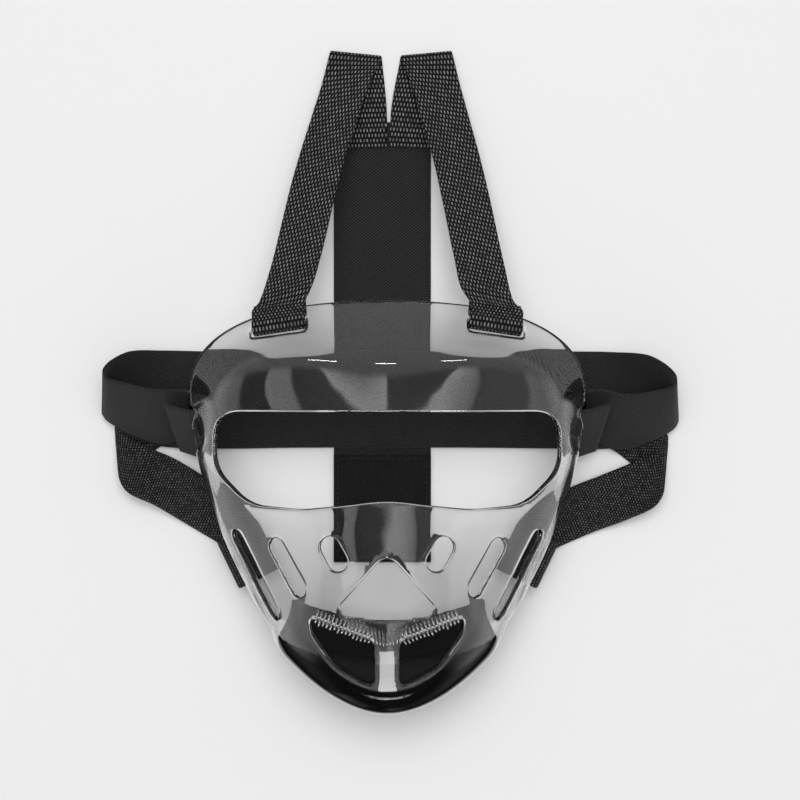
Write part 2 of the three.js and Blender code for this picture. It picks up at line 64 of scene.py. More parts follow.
# Heights along the face, each row (y, z)
CROWN_HEIGHT = (
    (-154, 90), (-134, 95), (-115, 98), (-95, 99.5), (-75, 98.5), (-50, 95.5), (-5, 91.5), (49, 90),
)
SPRING_HEIGHT = (
    (-154, 28), (-130, 20), (-100, 17), (-70, 20), (-40, 30), (-15, 45), (0, 54), (10, 55.5),
    (25, 56), (49, 58),
)
RIM_HEIGHT = (
    (-154, 26), (-130, 15), (-100, 8), (-70, 6.5), (-36, 6.5), (-24, 7), (-18, 14), (-6, 36), (1, 49.8),
    (6, 54.7), (25, 56), (49, 58),
)
# Openings in plan, each corner (x, y, corner radius); those of a pair are the left one's
EYE_WINDOW = (
    (-83, -5.2, 15), (83, -5.2, 15), (83.5, -34, 18), (66, -50.5, 24), (40, -51.8, 60),
    (0, -46.8, 80), (-40, -51.8, 60), (-66, -50.5, 24), (-83.5, -34, 18),
)
NOSE = (
    (0, -70.5, 7), (23, -96.5, 3.5), (20.5, -101.8, 3),
    (0, -104.2, 60), (-20.5, -101.8, 3), (-23, -96.5, 3.5),
)
MOUTH = ((-37, -101.5, 4.5), (-5.6, -112.5, 5), (-5.6, -137.5, 4), (-24.5, -127, 24), (-36, -111, 12))
FOREHEAD_SLOT = ((-66.5, 30, 2.4), (-38.5, 33.6, 2.4), (-38.5, 41, 2.4), (-66.5, 35.2, 2.4))
# Round-ended slots square to the wall: x, y, length, width, lean of the top away from the middle
VENT = (-25.2, -71.8, 18, 10.5, 31)
INNER_CHEEK_SLOT = (-47.4, -79, 32, 9.5, 40)
OUTER_CHEEK_SLOT = (-63.5, -84, 48, 9.5, 44)
# Strap slots in the upright wall
TEMPLE_LOW = (-29.5, 11.0)
TEMPLE_HIGH = (-4.0, 57.0)
TEMPLE_SLOT_WIDTH = 5.5
TEMPLE_BAR = 6.4
JAW_SLOT_Y = -82.0
JAW_SLOT_Z = 17.0
JAW_SLOT_LENGTH = 28.0
JAW_SLOT_WIDTH = 5.0
# A search by halving is exact after this many steps
HALVINGS = 50


def unit(vectors):
    """Vectors made one long."""
    return vectors / np.linalg.norm(vectors, axis=-1, keepdims=True)


def table_height(rows, y):
    """Height at y from (y, z) rows, on cubics whose slope at a row is that of its two neighbours."""
    ys, zs = np.array(rows, float).T
    last = len(ys) - 1
    before = np.maximum(np.arange(last + 1) - 1, 0)
    after = np.minimum(np.arange(last + 1) + 1, last)
    slope = (zs[after] - zs[before]) / (ys[after] - ys[before])
    at = np.clip(y, ys[0], ys[-1])
    i = np.clip(np.searchsorted(ys, at) - 1, 0, last - 1)
    span = ys[i + 1] - ys[i]
    t = (at - ys[i]) / span
    rise = zs[i + 1] - zs[i]
    a = slope[i] * span - rise
    b = rise - slope[i + 1] * span
    return zs[i] + t * rise + t * (1 - t) * ((1 - t) * a + t * b)


def chin_lip(angle):
    """How far the chin steps out along a ray: most at the step, less towards the middle of the chin."""
    fall = np.degrees(np.arcsin(-np.sin(angle)))
    t = np.clip((fall - CHIN_LIP_FROM) / (CHIN_LIP_TO - CHIN_LIP_FROM), 0, 1)
    fade = 1 - CHIN_LIP_FADE * (fall - CHIN_LIP_FROM) / (90 - CHIN_LIP_FROM)
    return CHIN_LIP_STEP * t * t * (3 - 2 * t) * fade


def outline_radius(angle):
    """Distance from the pole to the plan outline along a ray."""
    low = np.zeros_like(angle)
    high = np.full_like(angle, CHIN_REACH + TOP_REACH)
    for _ in range(HALVINGS):
        middle = (low + high) / 2
        x = np.abs(middle * np.cos(angle))
        y = POLE_Y + middle * np.sin(angle)
        reach = np.where(y > 0, TOP_REACH, CHIN_REACH)
        power = np.where(y > 0, TOP_POWER, CHIN_POWER)
        inside = (x / HALF_WIDTH) ** power + (np.abs(y) / reach) ** power < 1
        low = np.where(inside, middle, low)
        high = np.where(inside, high, middle)
    return low + chin_lip(angle)


def outline_width(y):
    """Half width of the plan outline below its widest place."""
    return HALF_WIDTH * (1 - (-y / CHIN_REACH) ** CHIN_POWER) ** (1 / CHIN_POWER)


def face_height(inset, angle, radius):
    """Height of the outer face where a share of the ray is left between the point and the outline."""
    lift = np.sin(angle)
    y = POLE_Y + (1 - inset) * radius * lift
    power = SIDE_POWER + np.where(lift < 0, CHIN_SQUARE * lift ** 6, TOP_SQUARE * lift ** 2)
    spring = table_height(SPRING_HEIGHT, POLE_Y + radius * lift)
    left = np.clip(inset, 1e-30, 1 - 1e-12)
    dome = (table_height(CROWN_HEIGHT, y) - spring) * (-np.expm1(power * np.log1p(-left))) ** (1 / power)
    band = FOREHEAD_SLOPE / np.sqrt(np.clip(lift, 1e-9, 1)) * left * radius
    blend = (dome ** -BEND_SHARPNESS + band ** -BEND_SHARPNESS) ** (-1 / BEND_SHARPNESS)
    return spring + np.where(lift > 0, blend, dome)


POLE_Z = float(table_height(CROWN_HEIGHT, np.array(POLE_Y)))


def plan_place(x, y):
    """Ray angle, share of the ray that is left and ray length for places in plan."""
    angle = np.arctan2(y - POLE_Y, x)
    radius = outline_radius(angle)
    return angle, 1 - np.hypot(x, y - POLE_Y) / radius, radius


def face_points(x, y):
    """Outer face points over places in plan."""
    angle, inset, radius = plan_place(x, y)
    return np.stack([x, y, face_height(inset, angle, radius)], -1)


def face_at(x, y, step=0.2):
    """Outer face point over one place in plan, and the outward normal there."""
    xs = np.array([x, x + step, x - step, x, x])
    ys = np.array([y, y, y, y + step, y - step])
    at, right, left, up, down = face_points(xs, ys)
    return at, unit(np.cross(right - left, up - down))


def flattened(points):
    """The shell laid flat: each ray keeps its direction and is as long as its run plus its fall."""
    angle, inset, radius = plan_place(points[:, 0], points[:, 1])
    run = (1 - np.maximum(inset, 0)) * radius + POLE_Z - points[:, 2]
    return np.stack([run * np.cos(angle), run * np.sin(angle)], -1)


def folded(flat):
    """Outer face points of flat ones, with their outward normals."""
    angle = np.arctan2(flat[:, 1], flat[:, 0])
    run = np.hypot(flat[:, 0], flat[:, 1])
    radius = outline_radius(angle)
    low = np.zeros_like(run)
    high = np.ones_like(run)
    for _ in range(HALVINGS):
        middle = (low + high) / 2
        inset = middle ** 3
        beyond = (1 - inset) * radius + POLE_Z - face_height(inset, angle, radius) > run
        low = np.where(beyond, middle, low)
        high = np.where(beyond, high, middle)

    def place(root, turned):
        reach = outline_radius(turned)
        inset = root ** 3
        x = (1 - inset) * reach * np.cos(turned)
        y = POLE_Y + (1 - inset) * reach * np.sin(turned)
        return np.stack([x, y, face_height(inset, turned, reach)], -1)

    at = place(high, angle)
    around = place(high, angle + 1e-4) - place(high, angle - 1e-4)
    inwards = place(np.minimum(high + 1e-4, 1), angle) - place(np.maximum(high - 1e-4, 0), angle)
    wall_z = POLE_Z + radius - run
    upright = wall_z < face_height(np.zeros_like(run), angle, radius)
    at[:, 2] = np.where(upright, wall_z, at[:, 2])
    around[:, 2] = np.where(upright, 0, around[:, 2])
    inwards = np.where(upright[:, None], np.array([0.0, 0.0, 1.0]), inwards)
    return at, unit(np.cross(around, inwards))


def evenly(points, spacing):
    """A closed line of points with even steps of about the spacing."""
    ring = np.vstack([points, points[:1]])
    length = np.concatenate([[0], np.cumsum(np.linalg.norm(np.diff(ring, axis=0), axis=1))])
    count = max(8, round(length[-1] / spacing))
    wanted = np.arange(count) / count * length[-1]
    return np.stack([np.interp(wanted, length, ring[:, k]) for k in range(ring.shape[1])], -1)


def rounded(corners, spacing):
    """Closed outline in plan whose corners are rounded."""
    points = []
    for k, (x, y, radius) in enumerate(corners):
        corner = np.array([x, y], float)
        back = np.array(corners[k - 1][:2], float) - corner
        ahead = np.array(corners[(k + 1) % len(corners)][:2], float) - corner
        back_length, ahead_length = np.linalg.norm(back), np.linalg.norm(ahead)
        half = math.acos(np.dot(back, ahead) / back_length / ahead_length) / 2
        cut = min(radius / math.tan(half), 0.48 * min(back_length, ahead_length))
        start, end = corner + back / back_length * cut, corner + ahead / ahead_length * cut
        for t in np.linspace(0, 1, 13):
            points.append((1 - t) ** 2 * start + 2 * t * (1 - t) * corner + t ** 2 * end)
    return evenly(np.array(points), spacing)


def mirrored(corners):
    """The right opening of a pair."""
    return tuple((-x, y, radius) for x, y, radius in reversed(corners))


def pierced(centre, lengthwise, normal, length, width, spacing, reach=13.0):
    """Round-ended slot outline where a punch along the normal leaves through the outer face."""
    side = (length - width) / 2
    turn = np.linspace(0, math.pi, 25)
    top = np.stack([np.cos(turn), np.sin(turn)], -1) * width / 2 + (0, side)
    outline = evenly(np.vstack([top, -top]), spacing)
    across = unit(np.cross(lengthwise, normal))
    along = np.cross(normal, across)
    start = centre + outline[:, :1] * across + outline[:, 1:] * along
    low = np.full(len(start), -reach)
    high = np.full(len(start), reach)
    for _ in range(HALVINGS):
        t = (low + high) / 2
        p = start + t[:, None] * normal
        angle, inset, radius = plan_place(p[:, 0], p[:, 1])
        within = (inset > 0) & (p[:, 2] < face_height(np.maximum(inset, 0), angle, radius))
        low = np.where(within, t, low)
        high = np.where(within, high, t)
    return start + low[:, None] * normal


def temple_frame(side):
    """Middle of a temple slot, and the directions across its strap, outwards and to the free edge."""
    low = np.array([side * outline_width(TEMPLE_LOW[0]), *TEMPLE_LOW])
    high = np.array([side * outline_width(TEMPLE_HIGH[0]), *TEMPLE_HIGH])
    across = unit(high - low)
    outward = np.array([side, 0.0, 0.0])
    return (low + high) / 2, across, outward, unit(side * np.cross(across, outward))


def jaw_frame(side):
    """The same of a jaw slot."""
    half = JAW_SLOT_LENGTH / 2
    lean = outline_width(JAW_SLOT_Y + half) - outline_width(JAW_SLOT_Y - half)
    across = unit(np.array([side * lean, JAW_SLOT_LENGTH, 0.0]))
    outward = np.array([side * across[1], -side * across[0], 0.0])
    centre = np.array([side * outline_width(JAW_SLOT_Y), JAW_SLOT_Y, JAW_SLOT_Z])
    return centre, across, outward, np.array([0.0, 0.0, -1.0])


def shield_openings(spacing):
    """Outlines of every opening on the outer face."""
    outlines = []
    for corners in (EYE_WINDOW, NOSE, MOUTH, mirrored(MOUTH), FOREHEAD_SLOT, mirrored(FOREHEAD_SLOT)):
        plan = rounded(corners, spacing)
        outlines.append(face_points(plan[:, 0], plan[:, 1]))
    for side in (-1, 1):
        for x, y, length, width, lean in (VENT, INNER_CHEEK_SLOT, OUTER_CHEEK_SLOT):
            centre, normal = face_at(-side * x, y)
            upward = np.array([side * math.sin(math.radians(lean)), math.cos(math.radians(lean)), 0.0])
            upward -= upward.dot(normal) * normal
            outlines.append(pierced(centre, upward, normal, length, width, spacing))
        centre, across, outward, _ = temple_frame(side)
        ends = [(outline_width(y), y, z) for y, z in (TEMPLE_LOW, TEMPLE_HIGH)]
        outlines.append(pierced(centre, across, outward, math.dist(*ends), TEMPLE_SLOT_WIDTH, spacing))
        centre, across, outward, _ = jaw_frame(side)
        outlines.append(pierced(centre, across, outward, JAW_SLOT_LENGTH, JAW_SLOT_WIDTH, spacing))
    return outlines


def shield_rim(spacing):
    """The cut edge on the outer face."""
    angle = np.radians(np.arange(0, 360, 0.25))
    radius = outline_radius(angle)
    x, y = radius * np.cos(angle), POLE_Y + radius * np.sin(angle)
    z = np.minimum(table_height(RIM_HEIGHT, y), table_height(SPRING_HEIGHT, y))
    return evenly(np.stack([x, y, z], -1), spacing)


def within(points, loop):
    """Which flat points lie inside a closed loop."""
    crossings = np.zeros(len(points), int)
    for (ax, ay), (bx, by) in zip(loop, np.roll(loop, -1, axis=0)):
        if ay == by:
            continue
        spans = (points[:, 1] > ay) != (points[:, 1] > by)
        crossings += spans & (points[:, 0] < ax + (points[:, 1] - ay) / (by - ay) * (bx - ax))
    return crossings % 2 == 1


def smooth_mesh(name, points, faces):
    """A smooth-shaded mesh from points in millimetres."""
    mesh = bpy.data.meshes.new(name)
    mesh.from_pydata((np.asarray(points) * MM).tolist(), [], [tuple(map(int, face)) for face in faces])
    mesh.polygons.foreach_set("use_smooth", np.ones(len(mesh.polygons), bool))
    mesh.update()
    return mesh


def in_scene(name, data):
    """A new object in the scene."""
    made = bpy.data.objects.new(name, data)
    bpy.context.scene.collection.objects.link(made)
    return made


def new_piece(name, mesh, node):
    """Puts a finished mesh in the scene in place of a CAD node, or beside them."""
    piece = in_scene(name, mesh)
    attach(piece, "root")
    if node:
        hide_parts(node)
    return piece


EDGE_SPACING = 1.0
GRID_SPACING = 1.75
# How far the grid of the net reaches, and the share of its spacing that it keeps from the borders
GRID_REACH = 300
GRID_CLEAR = 0.62
# Every edge is fully rounded: the faces stop short of the outline and the edge bulges a little past it
EDGE_SETBACK = 0.9
EDGE_BULGE = 1.3
EDGE_STEPS = 8


def grown(loop, distance):
    """A closed flat loop pushed outwards, or inwards for a negative distance."""
    ahead = np.roll(loop, -1, axis=0) - np.roll(loop, 1, axis=0)
    area = np.sum(loop[:, 0] * np.roll(loop[:, 1], -1) - loop[:, 1] * np.roll(loop[:, 0], -1))
    outwards = np.stack([ahead[:, 1], -ahead[:, 0]], -1) * math.copysign(1, area)
    return loop + distance * unit(outwards)


loops = [grown(flattened(line), EDGE_SETBACK) for line in shield_openings(EDGE_SPACING)]
rim_loop = grown(flattened(shield_rim(EDGE_SPACING)), -EDGE_BULGE)
borders = np.vstack([rim_loop, *loops])
near = KDTree(len(borders))
for k, (x, y) in enumerate(borders):
    near.insert((x, y, 0), k)
near.balance()
grid_rows = np.arange(-GRID_REACH, GRID_REACH, GRID_SPACING * math.sqrt(3) / 2)
grid = np.array([
    (x + (row % 2) * GRID_SPACING / 2, y)
    for row, y in enumerate(grid_rows) for x in np.arange(-GRID_REACH, GRID_REACH, GRID_SPACING)
])
kept = within(grid, rim_loop)
for loop in loops:
    kept[kept] = ~within(grid[kept], loop)
grid = np.array([p for p in grid[kept] if near.find((p[0], p[1], 0))[2] > GRID_CLEAR * GRID_SPACING])
ties = []
first = 0
for loop in [rim_loop, *loops]:
    ties += [(first + k, first + (k + 1) % len(loop)) for k in range(len(loop))]
    first += len(loop)
flat_points = np.vstack([borders, grid])
net, _, net_faces, _, _, _ = delaunay_2d_cdt([Vector(p) for p in flat_points.tolist()], ties, [], 0, 1e-5)
net = np.array([tuple(p) for p in net])
net_faces = np.array([tuple(face) for face in net_faces])
centres = net[net_faces].mean(axis=1)
solid = within(centres, rim_loop)
for loop in loops:
    solid[solid] = ~within(centres[solid], loop)
net_faces = net_faces[solid]
outer, outer_normal = folded(net)
inner = outer - SHIELD_WALL * outer_normal

# Each border edge of the net belongs to one triangle: the edge wall grows from it, bulged into the opening
edges = {(a, b): None for face in net_faces.tolist() for a, b in zip(face, face[1:] + face[:1])}
following = {a: b for a, b in edges if (b, a) not in edges}
points = [outer, inner]
count = len(outer)
faces = net_faces.tolist() + [[c + count, b + count, a + count] for a, b, c in net_faces.tolist()]
total = 2 * count
while following:
    a, walk = next(iter(following)), []
    while a in following:
        walk.append(a)
        a = following.pop(a)
    walk = np.array(walk)
    tangent = outer[np.roll(walk, -1)] - outer[np.roll(walk, 1)]
    outwards = unit(np.cross(tangent, outer_normal[walk]))
    rings = [walk]
    for step in range(1, EDGE_STEPS):
        turn = math.pi * step / EDGE_STEPS
        points.append((outer[walk] + inner[walk]) / 2 + SHIELD_WALL / 2 * math.cos(turn) * outer_normal[walk]
                      + EDGE_BULGE * math.sin(turn) * outwards)
        rings.append(np.arange(total, total + len(walk)))
        total += len(walk)
    rings.append(walk + count)
    for one, two in zip(rings, rings[1:]):
        for p, q, r, s in zip(one, np.roll(one, -1), np.roll(two, -1), two):
            faces.append([q, p, s, r])
shield_mesh = smooth_mesh("shield", np.vstack(points), faces)
new_piece("clear_shield", shield_mesh, "shield")


def tint(code):
    """Linear colour of an sRGB hex value."""
    parts = [int(code[k:k + 2], 16) / 255 for k in (1, 3, 5)]
    return (*[c / 12.92 if c <= 0.04045 else ((c + 0.055) / 1.055) ** 2.4 for c in parts], 1.0)


def add(tree, kind, links=None, **settings):
    """Adds a node with its settings; links gives each input a value, an output or a node's first output."""
    made = tree.nodes.new(kind)
    for key, value in settings.items():
        setattr(made, key, value)
    for socket, source in (links or {}).items():
        if isinstance(source, bpy.types.Node):
            source = source.outputs[0]
        if isinstance(source, bpy.types.NodeSocket):
            tree.links.new(source, made.inputs[socket])
        else:
            made.inputs[socket].default_value = source
    return made


def new_finish(name):
    """An empty material and its node tree."""
    material = bpy.data.materials.new(name)
    material.use_nodes = True
    material.node_tree.nodes.clear()
    return material, material.node_tree


def coat(tree, links):
    """Ends a material in one surface with the given values and sources."""
    surface = add(tree, "ShaderNodeBsdfPrincipled", links)
    add(tree, "ShaderNodeOutputMaterial", {"Surface": surface})


# Clear polycarbonate, moulded and polished: bright thin edges, hard reflections, a trace of handling haze
polycarbonate, tree = new_finish("clear_polycarbonate_moulded")
HAZE_MM = 6.0
RIPPLE_MM = 22.0
coordinates = add(tree, "ShaderNodeTexCoord").outputs["Object"]
haze = add(tree, "ShaderNodeTexNoise", {"Vector": coordinates, "Scale": 1000 / HAZE_MM, "Detail": 1.0})
haze_range = add(tree, "ShaderNodeMapRange", {
    "Value": haze, "From Min": 0.35, "From Max": 0.75, "To Min": 0.01, "To Max": 0.03,
})
ripple = add(tree, "ShaderNodeTexNoise", {"Vector": coordinates, "Scale": 1000 / RIPPLE_MM, "Detail": 1.0})
ripple_bump = add(tree, "ShaderNodeBump", {
    "Height": ripple, "Strength": 0.12, "Distance": 1.2 * MM,
})
coat(tree, {
    "Base Color": tint("#F3F3F3"), "IOR": 1.52, "Transmission Weight": 1.0,
    "Roughness": haze_range, "Normal": ripple_bump,
})
shield_mesh.materials.append(polycarbonate)

# Lip ribs: a comb of fine grip ridges moulded on the lip, square to the top edge of each mouth opening,
# with a bunch of longer ones over the bar between the two. They are part of the same clear moulding.
RIB_SIZE = (4.6, 1.15, 1.1)
RIB_PITCH = 1.9
LIP_START = (-33.5, -102.6)
LIP_END = (-8.0, -111.5)
# Two rows along each mouth: distance above its top edge, depth in the wall, stretch
LIP_ROWS = ((2.9, 0.15, 1.0), (-0.9, 0.9, 1.1))
LIP_SHIFT = 0.4
LIP_STRETCH = (0.75, 1.2)
# The bunch over the bar: half its width, its pitch, place, curve, depth in the wall, fan and stretch
BUNCH_REACH = 8.4
BUNCH_PITCH = 1.68
BUNCH_Y = -111.5
BUNCH_CURVE = 0.04
BUNCH_DEPTH = 0.15
BUNCH_FAN = 0.03
BUNCH_STRETCH = (1.8, 2.4)


def plain_mesh(carrier):
    """The mesh that an object's modifiers give; the object itself goes."""
    name = carrier.name
    view = bpy.context.evaluated_depsgraph_get()
    mesh = bpy.data.meshes.new_from_object(carrier.evaluated_get(view), depsgraph=view)
    bpy.data.objects.remove(carrier)
    mesh.name = name
    return mesh


def planted(name, mesh, plant, inputs):
    """One plain mesh of what a geometry node group plants on a mesh; inputs are rows (label, kind, value)."""
    carrier = in_scene(name, mesh)
    tree = bpy.data.node_groups.new(name + "_nodes", "GeometryNodeTree")
    for way in ("INPUT", "OUTPUT"):
        tree.interface.new_socket("Geometry", in_out=way, socket_type="NodeSocketGeometry")
    values = {}
    for label, kind, value in inputs:
        socket = tree.interface.new_socket(label, in_out="INPUT", socket_type="NodeSocket" + kind)
        values[socket.identifier] = value
    given = add(tree, "NodeGroupInput").outputs
    real = add(tree, "GeometryNodeRealizeInstances", {"Geometry": plant(tree, given)})
    smooth = add(tree, "GeometryNodeSetShadeSmooth", {"Geometry": real})
    coated = add(tree, "GeometryNodeSetMaterial", {
        "Geometry": smooth, "Material": given["Finish"],
    })
    add(tree, "NodeGroupOutput", {"Geometry": coated})
    modifier = carrier.modifiers.new("planted", "NODES")
    modifier.node_group = tree
    for identifier, value in values.items():
        modifier[identifier] = value
    return plain_mesh(carrier)


def bars_on_points(tree, given):
    """Rounded bars on points, turned and stretched by the points' attributes."""
    extent = add(tree, "ShaderNodeCombineXYZ", {
        "X": given["Length"], "Y": given["Width"], "Z": given["Height"],
    })
    bar = add(tree, "GeometryNodeMeshUVSphere", {"Segments": 8, "Rings": 5, "Radius": 0.5})
    shaped = add(tree, "GeometryNodeTransform", {
        "Geometry": bar, "Scale": extent,
    })
    turn = add(tree, "GeometryNodeInputNamedAttribute", {"Name": "turn"}, data_type="QUATERNION")
    stretch = add(tree, "GeometryNodeInputNamedAttribute", {"Name": "stretch"}, data_type="FLOAT")
    longer = add(tree, "ShaderNodeCombineXYZ", {"X": stretch, "Y": 1.0, "Z": 1.0})
    return add(tree, "GeometryNodeInstanceOnPoints", {
        "Points": given["Geometry"], "Instance": shaped,
        "Rotation": turn, "Scale": longer,
    })


def bar_mesh(name, spots, size, material):
    """One plain mesh of small rounded bars at spots (place, direction, normal, stretch)."""
    mesh = bpy.data.meshes.new(name)
    mesh.from_pydata([tuple(np.asarray(place) * MM) for place, _, _, _ in spots], [], [])
    turns = []
    for _, direction, normal, _ in spots:
        up = Vector(normal).normalized()
        along = Vector(direction)
        along = (along - up * along.dot(up)).normalized()
        turns.extend(Matrix((along, up.cross(along), up)).transposed().to_quaternion())
    mesh.attributes.new("turn", "QUATERNION", "POINT").data.foreach_set("value", turns)
    mesh.attributes.new("stretch", "FLOAT", "POINT").data.foreach_set("value", [spot[3] for spot in spots])
    sizes = [(label, "Float", value * MM) for label, value in zip(("Length", "Width", "Height"), size)]
    return planted(name, mesh, bars_on_points, [*sizes, ("Finish", "Material", material)])


rib_spots = []
uneven = np.random.default_rng(7)
lip_run = np.subtract(LIP_END, LIP_START)
lip_count = int(np.hypot(*lip_run) / RIB_PITCH)
lip_across = np.array([-lip_run[1], lip_run[0]]) / np.hypot(*lip_run)
for side in (-1, 1):
    for t in np.linspace(0, 1, lip_count + 1):
        for out, sunk, stretch in LIP_ROWS:
            x, y = np.add(LIP_START, t * lip_run) + (out + uneven.uniform(-LIP_SHIFT, LIP_SHIFT)) * lip_across
            at, normal = face_at(-side * x, y)
            lean = (-side * lip_across[0], lip_across[1], 0.0)
            rib_spots.append((at - sunk * normal, lean, normal, stretch * uneven.uniform(*LIP_STRETCH)))
for x in np.arange(-BUNCH_REACH, BUNCH_REACH + 0.1, BUNCH_PITCH):
    at, normal = face_at(x, BUNCH_Y + BUNCH_CURVE * x * x)
    fan = (BUNCH_FAN * x, 1.0, 0.0)
    rib_spots.append((at - BUNCH_DEPTH * normal, fan, normal, uneven.uniform(*BUNCH_STRETCH)))
lip_mesh = bar_mesh("lip_ribs", rib_spots, RIB_SIZE, polycarbonate)
new_piece("lip_ribs", lip_mesh, None)

# The chin pad: a block of light black foam glued into the chin, its rim rounded off and its face matt.
# It keeps the shape of its solid, which the voxels round a little at the edges. Above its loose lowest part
# it is swollen by more than the glue gap, so that it sits in the wall with no air between.
PAD_VOXEL = 1.5
PAD_SEATING = 1.3
PAD_LOOSE_HEIGHT = 28.0
pad = in_scene("foam_chin_pad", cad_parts["chin_pad"].data.copy())
weld = pad.modifiers.new("weld", "WELD")
weld.merge_threshold = 0.01 * MM
voxels = pad.modifiers.new("voxels", "REMESH")
voxels.mode = "VOXEL"
voxels.voxel_size = PAD_VOXEL * MM
voxels.use_smooth_shade = True
rounding = pad.modifiers.new("rounding", "SMOOTH")
rounding.factor = 0.5
rounding.iterations = 10
pad_mesh = plain_mesh(pad)
skin = np.empty(3 * len(pad_mesh.vertices))
facing = np.empty_like(skin)
pad_mesh.vertices.foreach_get("co", skin)
pad_mesh.vertex_normals.foreach_get("vector", facing)
seated = np.clip((skin[2::3] / MM - PAD_LOOSE_HEIGHT) / PAD_LOOSE_HEIGHT, 0, 1)
pad_mesh.vertices.foreach_set("co", skin + PAD_SEATING * MM * np.repeat(seated, 3) * facing)
pad_mesh.update()
# Black foam with a matt skin: it gives no clear reflections, only pinholes a little under a millimetre apart
CELL_MM = 0.9
foam, tree = new_finish("black_foam_skinned")
coordinates = add(tree, "ShaderNodeTexCoord").outputs["Object"]
cells = add(tree, "ShaderNodeTexVoronoi", {"Vector": coordinates, "Scale": 1000 / CELL_MM})
shade = add(tree, "ShaderNodeMixRGB", {
    "Fac": cells, "Color1": tint("#080809"), "Color2": tint("#161618"),
})
dents = add(tree, "ShaderNodeBump", {
    "Height": cells, "Strength": 0.35, "Distance": 0.3 * MM,
})
coat(tree, {"Base Color": shade, "Roughness": 0.8, "Specular IOR Level": 0.1, "Normal": dents})
pad_mesh.materials.clear()
pad_mesh.materials.append(foam)
chin_pad = new_piece("foam_chin_pad", pad_mesh, "chin_pad")

# The crown strap: 50 mm black woven elastic, flat on the table from the forehead end to its free tail.
# Straps are swept along stations, each the strap's middle and the vector from its lower to its upper edge.
ELASTIC_WIDTH = 50.0
ELASTIC_THICK = 1.5
GAP = 0.35
CROWN_X = -3.0
CROWN_TOP = 143.0
CROWN_BOTTOM = -83.5


def hermite(a, b, slope_a, slope_b, t):
    """Cubic from a to b with the given end slopes, and its own slope."""
    c2 = 3 * (b - a) - 2 * slope_a - slope_b
    c3 = 2 * (a - b) + slope_a + slope_b
    t = t[:, None]
    return a + t * (slope_a + t * (c2 + t * c3)), slope_a + t * (2 * c2 + 3 * t * c3)


def strap_line(stations, spacing=1.2):
    """Middle, half-edge, tangent, normal and length along of a strap at close steps between its stations."""
    at = np.array([station[0] for station in stations], float)
    edge = np.array([station[1] for station in stations], float)
    at = np.vstack([2 * at[0] - at[1], at, 2 * at[-1] - at[-2]])
    edge = np.vstack([2 * edge[0] - edge[1], edge, 2 * edge[-1] - edge[-2]])
    middles, edges, tangents = [], [], []
    for k in range(len(stations) - 1):
        p0, p1, p2, p3 = at[k:k + 4]
        d0, d1, d2 = (math.sqrt(np.linalg.norm(b - a)) for a, b in ((p0, p1), (p1, p2), (p2, p3)))
        slope_1 = d1 * ((p1 - p0) / d0 - (p2 - p0) / (d0 + d1) + (p2 - p1) / d1)
        slope_2 = d1 * ((p2 - p1) / d1 - (p3 - p1) / (d1 + d2) + (p3 - p2) / d2)
        steps = max(6, round(np.linalg.norm(p2 - p1) / spacing))
        t = np.arange(steps + (k == len(stations) - 2)) / steps
        middle, tangent = hermite(p1, p2, slope_1, slope_2, t)
        e0, e1, e2, e3 = edge[k:k + 4]
        edges.append(hermite(e1, e2, (e2 - e0) / 2, (e3 - e1) / 2, t)[0])
        middles.append(middle)
        tangents.append(tangent)
    middle, tangent = np.vstack(middles), np.vstack(tangents)
    half = np.vstack(edges) / 2
    normal = unit(np.cross(tangent, half))
    along = np.concatenate([[0], np.cumsum(np.linalg.norm(np.diff(middle, axis=0), axis=1))])
    return middle, half, tangent, normal, along


def strap_piece(name, line, thick, finish, node, across_steps=16):
    """A strap with round selvedges; its UV map is millimetres round the section and along the strap."""
    middle, half, _, normal, along = line
    width = 2 * np.linalg.norm(half, axis=1)
    reach = 1 - thick / width.mean()
    flat = [(u, 1.0) for u in np.linspace(reach, -reach, across_steps)]
    curl = [(-reach - (1 - reach) * math.sin(a), math.cos(a)) for a in np.radians((45, 90, 135))]
    ring = flat + curl + [(-u, -v) for u, v in flat] + [(-u, -v) for u, v in curl]
    count = len(ring)
    points = np.stack([middle + u * half + v * thick / 2 * normal for u, v in ring], 1).reshape(-1, 3)
    section = np.array([(u * width.mean() / 2, v * thick / 2) for u, v in ring + ring[:1]])
    around = np.concatenate([[0], np.cumsum(np.linalg.norm(np.diff(section, axis=0), axis=1))])
    faces, places = [], []
    for k in range(len(middle) - 1):
        for j in range(count):
            n = (j + 1) % count
            faces.append((k * count + j, k * count + n, (k + 1) * count + n, (k + 1) * count + j))
            places += [(around[j], along[k]), (around[j + 1], along[k]),
                       (around[j + 1], along[k + 1]), (around[j], along[k + 1])]
    last = (len(middle) - 1) * count
    faces += [tuple(range(count))[::-1], tuple(range(last, last + count))]
    places += [(around[j], along[0]) for j in reversed(range(count))]
    places += [(around[j], along[-1]) for j in range(count)]
    mesh = smooth_mesh(name, points, faces)
    mesh.uv_layers.new(name="cloth").data.foreach_set("uv", np.array(places).ravel())
    mesh.materials.append(finish)
    new_piece(name, mesh, node)


